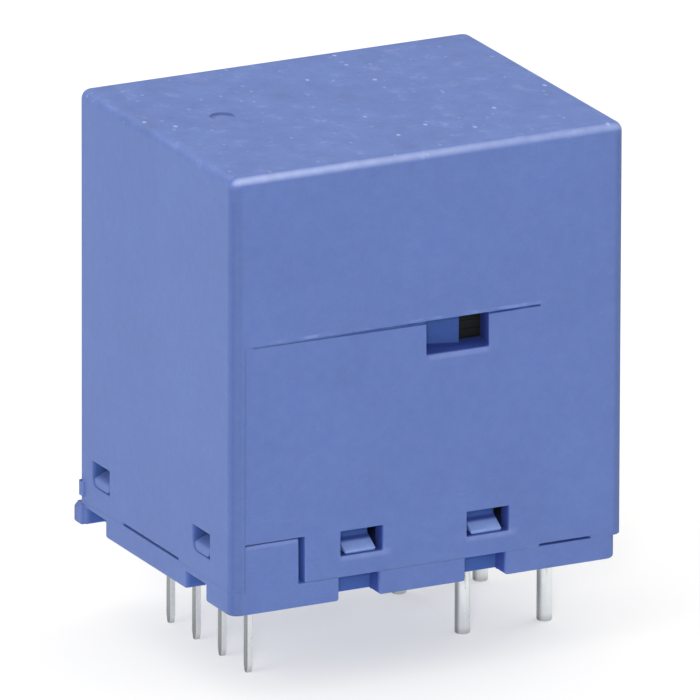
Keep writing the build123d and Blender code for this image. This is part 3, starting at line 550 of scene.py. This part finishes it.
def dark_moulding(name, tone):
    """Matt black moulding with a fine grain."""
    look = Look(name)
    grain = look.noise(look.place, 12.0, 3)
    cloud = look.noise(look.place, 0.8, 3)
    flecks = look.specks(look.place, 4.0, 0.15)
    level = look.plus(look.spread(grain, 0.8, 1.15), look.spread(cloud, -0.15, 0.15))
    base = look.mix(look.times(flecks, 0.25), look.shade(tone, level), FLECK_GREY)
    return look.finish(base, look.spread(cloud, 0.45, 0.65), look.bump(grain, 0.012))


def board_laminate():
    """Green resist over a glass weave, with the bare laminate along the board's edges."""
    box_low, box_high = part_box("circuit_board")
    low, high = box_low / MM, box_high / MM
    look = Look("board_laminate")
    threads, tracks = 9.0, 0.27
    warp = look.math("SINE", look.times(look.y, threads))
    weft = look.math("SINE", look.times(look.z, threads))
    weave = look.times(warp, weft)
    cloud = look.noise(look.place, 0.6, 3)
    level = look.plus(look.spread(weave, 0.93, 1.07), look.spread(cloud, -0.15, 0.15))
    resist = look.shade(RESIST_GREEN, level)
    copper = look.within(look.math("FRACT", look.times(look.z, tracks)), 0.4, 0.52, 0.02)
    tracked = look.mix(look.times(copper, 0.45), resist, COPPER_GREEN)
    inside = look.times(
        look.within(look.y, low.y + 0.12, high.y - 0.12, 0.02),
        look.within(look.z, low.z + 0.1, high.z - 0.12, 0.02),
    )
    base = look.mix(inside, LAMINATE_YELLOW, tracked)
    height = look.plus(look.times(weave, 0.3), look.times(copper, 0.8))
    return look.finish(base, look.spread(cloud, 0.28, 0.42), look.bump(height, 0.015))


def component(name, body, half, gloss):
    """A part on the board: a body of the given half sizes along Y and Z, and bare metal round it."""
    look = Look(name)
    low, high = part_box(name)
    middle_y, middle_z = ((low + high) / 2 / MM).yz
    inside = look.times(
        look.within(look.y, middle_y - half[0], middle_y + half[0], 0.015),
        look.within(look.z, middle_z - half[1], middle_z + half[1], 0.015),
    )
    grain = look.noise(look.place, 10.0, 3)
    cloud = look.noise(look.place, 1.6, 3)
    shell = look.shade(body, look.plus(look.spread(grain, 0.85, 1.15), look.spread(cloud, -0.1, 0.1)))
    metal = look.shade(SOLDER_TIN, look.spread(cloud, 0.8, 1.1))
    base = look.mix(inside, metal, shell)
    look.feed(look.shader.inputs["Metallic"], look.math("SUBTRACT", 1.0, inside))
    roughness = look.plus(look.times(inside, gloss - 0.3), look.spread(cloud, 0.26, 0.38))
    return look.finish(base, roughness, look.bump(grain, 0.008))


def floor_surface():
    """Plain pale studio card with the least trace of tooth."""
    look = Look("studio_card", reflection=0.2)
    tooth = look.noise(look.place, 1.2, 3)
    base = look.shade(CARD_GREY, look.spread(tooth, 0.996, 1.004))
    look.shader.inputs["Emission Color"].default_value = (1, 1, 1, 1)
    look.shader.inputs["Emission Strength"].default_value = 0.45
    return look.finish(base, 0.9)


def flat_regions(work):
    """Groups the faces that lie in one plane and touch, as lists of faces."""
    work.faces.ensure_lookup_table()
    seen = set()
    regions = []
    for first in work.faces:
        if first in seen:
            continue
        seen.add(first)
        region = [first]
        for face in region:
            for edge in face.edges:
                for other in edge.link_faces:
                    if other in seen or edge.calc_face_angle(math.pi) > FLAT_ANGLE:
                        continue
                    seen.add(other)
                    region.append(other)
        regions.append(region)
    return regions


def rim_loops(region):
    """The loops of edges round a flat region, its outside and its holes."""
    inside = set(region)
    edges = {edge for face in region for edge in face.edges}
    rim = {edge for edge in edges if sum(face in inside for face in edge.link_faces) == 1}
    loops = []
    while rim:
        loop = [rim.pop()]
        for edge in loop:
            for vert in edge.verts:
                for other in vert.link_edges:
                    if other in rim:
                        rim.discard(other)
                        loop.append(other)
        loops.append(loop)
    return loops


def extent(edges):
    """The lowest and highest corners of the box round some edges."""
    points = [vert.co for edge in edges for vert in edge.verts]
    low = Vector([min(p[i] for p in points) for i in range(3)])
    high = Vector([max(p[i] for p in points) for i in range(3)])
    return low, high


def join_flat_faces(work, **kept):
    """Dissolves the edges between faces that lie in one plane."""
    bmesh.ops.dissolve_limit(work, angle_limit=FLAT_ANGLE, verts=work.verts, edges=work.edges, **kept)


def cut_across(work, region, middle, direction):
    """Cuts the faces in a region's plane straight through a point, and keeps the cut as a seam."""
    same_way = 0.999
    centre, normal = region[0].calc_center_median(), region[0].normal.copy()
    faces = [
        face
        for face in work.faces
        if abs((face.calc_center_median() - centre).dot(normal)) < SAME_PLANE
        and face.normal.dot(normal) > same_way
    ]
    edges = list({edge for face in faces for edge in face.edges})
    verts = list({vert for face in faces for vert in face.verts})
    done = bmesh.ops.bisect_plane(
        work, geom=faces + edges + verts, plane_co=middle, plane_no=direction, dist=SAME_PLANE
    )
    for element in done["geom_cut"]:
        if isinstance(element, bmesh.types.BMEdge):
            element.seam = True


def welded(node):
    """A copy of a CAD node's mesh with its triangles joined, and cut straight through each hole."""
    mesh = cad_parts[node].data.copy()
    mesh.name = f"{node}_form"
    work = bmesh.new()
    work.from_mesh(mesh)
    bmesh.ops.remove_doubles(work, verts=work.verts, dist=SAME_POINT)
    join_flat_faces(work)
    cuts = []
    for region in flat_regions(work):
        loops = sorted(rim_loops(region), key=lambda loop: (extent(loop)[1] - extent(loop)[0]).length)
        upright = abs(region[0].normal.z) < 0.7
        for hole in loops[:-1]:
            low, high = extent(hole)
            cuts.append((region, (low + high) / 2, (0, 0, 1) if upright else (1, 0, 0)))
    for region, middle, direction in cuts:
        cut_across(work, region, middle, direction)
    join_flat_faces(work, delimit={"SEAM"})
    work.to_mesh(mesh)
    work.free()
    return mesh


def shown(node, material):
    """Adds the piece that stands for a CAD node."""
    mesh = welded(node)
    piece = bpy.data.objects.new(f"{node}_shown", mesh)
    bpy.context.scene.collection.objects.link(piece)
    mesh.materials.clear()
    mesh.materials.append(material)
    mesh.shade_smooth()
    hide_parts(node)
    return piece


def near(value, reach=0.01):
    """A narrow range round a value."""
    return value - reach, value + reach


def lies_in(point, *ranges):
    """Whether a point in metres lies in three ranges of millimetres, one for each axis."""
    return all(low * MM < value < high * MM for value, (low, high) in zip(point, ranges))


def move_points(piece, x, y, z, shift):
    """Shifts the points of a piece that lie in three ranges. All in millimetres."""
    for vert in piece.data.vertices:
        if lies_in(vert.co, x, y, z):
            vert.co += Vector(shift) * MM


def room_beside(edge, rim, normal, inward):
    """How far the flat region goes on from an edge before its next rim, in metres."""
    touching, parallel = 1e-8, 1e-12
    start, end = edge.verts[0].co, edge.verts[1].co
    side = normal.cross(inward)
    least = BOUNDLESS
    for part in (0.12, 0.5, 0.88):
        origin = start.lerp(end, part)
        for other in rim:
            if other is edge:
                continue
            a = other.verts[0].co - origin
            b = other.verts[1].co - origin
            across_a, across_b = a.dot(side), b.dot(side)
            if across_a * across_b > 0 or abs(across_a - across_b) < parallel:
                continue
            share = across_a / (across_a - across_b)
            hit = a.dot(inward) * (1 - share) + b.dot(inward) * share
            if hit > touching:
                least = min(least, hit)
    return least


def room_beside_edges(work, sharp):
    """The narrower flat beside each edge that turns by more than the sharp angle."""
    room = {}
    for region in flat_regions(work):
        inside = set(region)
        rim = [edge for loop in rim_loops(region) for edge in loop]
        for edge in rim:
            if edge.calc_face_angle(0) < math.radians(sharp):
                continue
            face = next(face for face in edge.link_faces if face in inside)
            loop = next(loop for loop in face.loops if loop.edge == edge)
            along = (loop.link_loop_next.vert.co - loop.vert.co).normalized()
            found = room_beside(edge, rim, face.normal, face.normal.cross(along))
            room[edge] = min(room.get(edge, BOUNDLESS), found)
    return room


def limit_at(edge, places, usual):
    """The rounding that an edge may have: that of the first place that holds all of it."""
    for *ranges, limit in places:
        if all(lies_in(vert.co, *ranges) for vert in edge.verts):
            return limit
    return usual


def soften(piece, usual, places=(), segments=3, sharp=35):
    """Rounds the edges that turn by more than the sharp angle, less where a flat is narrow."""
    room_share = 0.42
    width = max([usual] + [limit for *_, limit in places])
    mesh = piece.data
    work = bmesh.new()
    work.from_mesh(mesh)
    layer = work.edges.layers.float.new("bevel_weight_edge")
    for edge, room in room_beside_edges(work, sharp).items():
        limit = limit_at(edge, places, usual)
        edge[layer] = min(limit / width, room_share * room / (width * MM), 1.0)
    work.to_mesh(mesh)
    work.free()
    bevel = piece.modifiers.new("soft_edges", "BEVEL")
    bevel.limit_method = "WEIGHT"
    bevel.width = width * MM
    bevel.segments = segments
    bevel.use_clamp_overlap = False
    normals = piece.modifiers.new("flat_faces", "WEIGHTED_NORMAL")
    normals.keep_sharp = True
    normals.weight = 100


def apply_modifiers(piece):
    """Leaves the piece as a plain mesh."""
    graph = bpy.context.evaluated_depsgraph_get()
    mesh = bpy.data.meshes.new_from_object(piece.evaluated_get(graph))
    piece.modifiers.clear()
    piece.data = mesh


MOULDED_EDGE = 0.07
ANYWHERE = (-20, 20)
FRONT_HOOKS_X = (-5, 5)

# Places whose edges keep to another rounding than the usual one, as ranges along X, Y and Z
# and the rounding: the seam between the mouldings is nearly invisible, the feet are softer
# outside and sharper inside, and the hooks' blunt noses are small
SEAM = (ANYWHERE, ANYWHERE, (RIM_TOP - 0.01, COVER_BOTTOM + 0.01), 0.008)
CORNER_SEAM = (
    (PANEL_LEFT - 0.02, PANEL_LEFT + 0.06),
    near(FRONT_Y, 0.1),
    (COVER_BOTTOM - 0.3, CUTOUT_TOP + 0.05),
    0.008,
)
FEET_INSIDE = (
    (LEFT_X + 0.9, RIGHT_X - 0.9),
    (FRONT_Y + 0.9, BACK_Y - 0.9),
    (SEAT - 0.01, SEAT + 0.52),
    0.015,
)
FEET = (ANYWHERE, ANYWHERE, near(SEAT), 0.13)
NOSE_FRONT = (
    FRONT_HOOKS_X,
    (FRONT_Y + 0.2, FRONT_Y + 0.3),
    (WINDOW_SILL + 0.14, WINDOW_SILL + 0.16),
    0.03,
)
NOSE_UNDERSIDE = (
    FRONT_HOOKS_X,
    (FRONT_Y + 0.2, FRONT_Y + 0.6),
    (WINDOW_SILL - 0.01, WINDOW_SILL + 0.16),
    0.012,
)


def dressed_cover():
    """The case's cover, with the slopes of its port, groove and panel."""
    plastic = moulded_plastic("cover_plastic", BLUE, RIGHT_X)
    cover = shown("case_cover", plastic)

    # The port's sill rises towards its back left corner, and its right wall opens inwards
    move_points(cover, near(PORT_LEFT), near(POCKET_BACK, 0.5), near(PORT_SILL, 0.05), (0, 0, 0.24))
    port_height = (PORT_SILL - 0.05, PORT_HEAD + 0.1)
    move_points(cover, near(PORT_RIGHT), near(PORT_BACK, 0.02), port_height, (0.33, 0, 0))

    # The groove over the panel is deepest and tallest beside the port, and runs out at its ends
    groove_height = (PANEL_TOP - 0.15, PANEL_TOP + 0.05)
    port_width = (PORT_LEFT - 0.01, PORT_RIGHT + 0.01)
    for across, shift in (
        (near(GROOVE_LEFT), -0.165),
        (near(PANEL_RIGHT), -0.08),
        (port_width, -0.07),
    ):
        move_points(cover, across, near(GROOVE_Y), groove_height, (0, shift, 0))
    lower_edge = (PANEL_TOP - 0.15, PANEL_TOP - 0.07)
    move_points(cover, near(PORT_LEFT), (FRONT_Y, FRONT_Y + 0.3), lower_edge, (0, 0, -0.07))

    # The panel's right side comes up to the wall
    panel_height = (COVER_BOTTOM - 0.1, PORT_HEAD)
    move_points(cover, near(PANEL_RIGHT), near(PANEL_Y), panel_height, (0, -0.036, 0))
    soften(cover, MOULDED_EDGE, [SEAM, CORNER_SEAM])
    return cover


def dressed_tray():
    """The tray, drawn up to the cover, with the front hooks' noses over the sills."""
    plastic = moulded_plastic("tray_plastic", BLUE, TRAY_RIGHT, ramps=True)
    tray = shown("base_tray", plastic)

    # The rim comes up to the cover, and the corner block's left side to the cut-out's
    seam_gap = COVER_BOTTOM - RIM_TOP - 0.001
    move_points(tray, ANYWHERE, ANYWHERE, near(RIM_TOP, 0.005), (0, 0, seam_gap))
    block_height = (COVER_BOTTOM - 0.3, CUTOUT_TOP)
    move_points(tray, near(BLOCK_LEFT), (FRONT_Y - 0.1, FRONT_Y + 0.6), block_height, (-0.029, 0, 0))

    # The corner block runs down into the rim without a ledge
    block_foot = (RIM_TOP - 0.01, COVER_BOTTOM + 0.01)
    block_width = (PANEL_LEFT - 0.01, CUTOUT_RIGHT - 0.2)
    move_points(tray, block_width, near(PANEL_Y), block_foot, (0, -0.038, 0))

    # The front hooks' noses come forward, over the sills
    nose_height = (WINDOW_SILL + 0.03, WINDOW_SILL + 0.19)
    move_points(tray, FRONT_HOOKS_X, near(NOSE_Y), nose_height, (0, -NOSE_FORWARD, -0.03))
    soften(tray, MOULDED_EDGE, [SEAM, CORNER_SEAM, FEET_INSIDE, FEET, NOSE_FRONT, NOSE_UNDERSIDE])
    return tray


def dressed_windings():
    """The two round wires, whose ends are the primary pins."""
    tin = tinned_metal("tinned_wire", WIRE_TIN)
    windings = [shown(f"primary_winding_{number}", tin) for number in (1, 2)]
    for winding in windings:
        soften(winding, 0.06, segments=2, sharp=50)
    return windings


def dressed_pins():
    """The four flat secondary pins."""
    tin = tinned_metal("tinned_pin", PIN_TIN)
    pins = [shown(f"secondary_pin_{number}", tin) for number in (1, 2, 3, 4)]
    for pin in pins:
        soften(pin, 0.025, segments=2)
    return pins


def dress_inner_nodes():
    """Gives each CAD node that stays visible its material."""
    solder = tinned_metal("solder", SOLDER_TIN, (1.8, 1.8, 1.8))
    steel = laminated_steel()
    looks = {
        "coil_former": dark_moulding("former_plastic", FORMER_BLACK),
        "core_front_half": steel,
        "core_back_half": steel,
        "circuit_board": board_laminate(),
        "pin_solder": solder,
        "element_solder": solder,
    }

    # Each board part's colour, half of its body along Y and Z, and its gloss
    capacitor = (CERAMIC_BROWN, (1.25, 0.55), 0.4)
    resistor = (RESISTOR_BLACK, (0.45, 0.9), 0.4)
    board_parts = {
        "hall_element": (CHIP_BLACK, (9.9, 9.9), 0.5),
        "amplifier_chip": (CHIP_BLACK, (1.5, 1.5), 0.5),
        "voltage_regulator": (CHIP_BLACK, (0.65, 1.45), 0.5),
        "supply_capacitor_1": capacitor,
        "supply_capacitor_2": capacitor,
        "filter_capacitor": (CERAMIC_BROWN, (0.55, 1.25), 0.4),
        "gain_resistor": resistor,
        "offset_resistor": resistor,
        "feedback_resistor": resistor,
        "load_resistor": resistor,
    }
    for name, (tone, half, gloss) in board_parts.items():
        looks[name] = component(name, tone, half, gloss)
    for name, material in looks.items():
        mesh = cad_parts[name].data
        mesh.materials.clear()
        mesh.materials.append(material)


def camera():
    """The camera fitted to the photograph, aimed a little low to keep its framing."""
    photo_width = 700
    sensor_width = 36
    azimuth, elevation, roll = map(math.radians, (-26.828, 17.749, 0.176))
    distance = 1055.2
    focal_pixels = 24054.7
    middle_x, middle_y = 0.54, -49.34
    pixels_per_mm = 22.8
    middle_over_seat = 11
    back = Vector(
        (
            math.sin(azimuth) * math.cos(elevation),
            -math.cos(azimuth) * math.cos(elevation),
            math.sin(elevation),
        )
    )
    right = Vector((math.cos(azimuth), math.sin(azimuth), 0))
    up = back.cross(right)
    turned_right = math.cos(roll) * right + math.sin(roll) * up
    turned_up = -math.sin(roll) * right + math.cos(roll) * up
    middle = Vector((0, 0, SEAT + middle_over_seat))
    place = middle + back * distance
    aim = middle + (turned_up * middle_y - turned_right * middle_x) / pixels_per_mm
    z_axis = (place - aim).normalized()
    x_axis = turned_up.cross(z_axis).normalized()
    y_axis = z_axis.cross(x_axis)
    data = bpy.data.cameras.new("photo_camera")
    data.sensor_width = sensor_width
    data.lens = focal_pixels * sensor_width / photo_width
    data.clip_start = 0.05
    data.clip_end = 20
    eye = bpy.data.objects.new("photo_camera", data)
    bpy.context.scene.collection.objects.link(eye)
    matrix = Matrix((x_axis, y_axis, z_axis)).transposed().to_4x4()
    matrix.translation = place * MM
    eye.matrix_world = matrix
    bpy.context.scene.camera = eye


def pale_floor():
    """A wide pale floor under the pins. In metres."""
    half = 3.0
    mesh = bpy.data.meshes.new("floor")
    corners = [(-half, -half, 0), (half, -half, 0), (half, half, 0), (-half, half, 0)]
    mesh.from_pydata(corners, [], [(0, 1, 2, 3)])
    mesh.materials.append(floor_surface())
    floor = bpy.data.objects.new("floor", mesh)
    bpy.context.scene.collection.objects.link(floor)


def soft_sky():
    """A pale sky, even above and dim at the horizon."""
    world = bpy.data.worlds.new("sky")
    world.use_nodes = True
    tree = world.node_tree
    background = tree.nodes["Background"]
    direction = tree.nodes.new("ShaderNodeTexCoord")
    parts = tree.nodes.new("ShaderNodeSeparateXYZ")
    ramp = tree.nodes.new("ShaderNodeMapRange")
    ramp.interpolation_type = "SMOOTHSTEP"
    for name, value in {"From Min": -0.05, "From Max": 0.55, "To Min": 0.15, "To Max": 1.0}.items():
        ramp.inputs[name].default_value = value
    tree.links.new(direction.outputs["Generated"], parts.inputs[0])
    tree.links.new(parts.outputs["Z"], ramp.inputs["Value"])
    tree.links.new(ramp.outputs["Result"], background.inputs["Strength"])
    background.inputs["Color"].default_value = (0.98, 0.99, 1.0, 1)
    bpy.context.scene.world = world


def softbox(name, place, size, power):
    """A square studio light that faces the object. In metres and watts."""
    data = bpy.data.lights.new(name, "AREA")
    data.shape = "RECTANGLE"
    data.size = data.size_y = size
    data.energy = power
    light = bpy.data.objects.new(name, data)
    bpy.context.scene.collection.objects.link(light)
    light.location = place
    middle = Vector((0, 0, CASE_TOP / 2)) * MM
    aim = middle - Vector(place)
    light.rotation_euler = aim.to_track_quat("-Z", "Y").to_euler()


def studio():
    """A pale floor, a soft sky and four soft lights."""
    pale_floor()
    soft_sky()
    softbox("left", (-0.42, -0.1, 0.3), 0.3, 0.62)
    softbox("front", (-0.273, -0.493, 0.215), 0.08, 1.3)
    softbox("right", (0.48, 0.12, 0.36), 0.3, 0.6)
    softbox("back", (-0.12, 0.5, 0.36), 0.3, 0.6)


for piece in [dressed_cover(), dressed_tray(), *dressed_windings(), *dressed_pins()]:
    apply_modifiers(piece)
    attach(piece, "root")
dress_inner_nodes()
camera()
studio()
bpy.context.scene.view_settings.view_transform = "Standard"
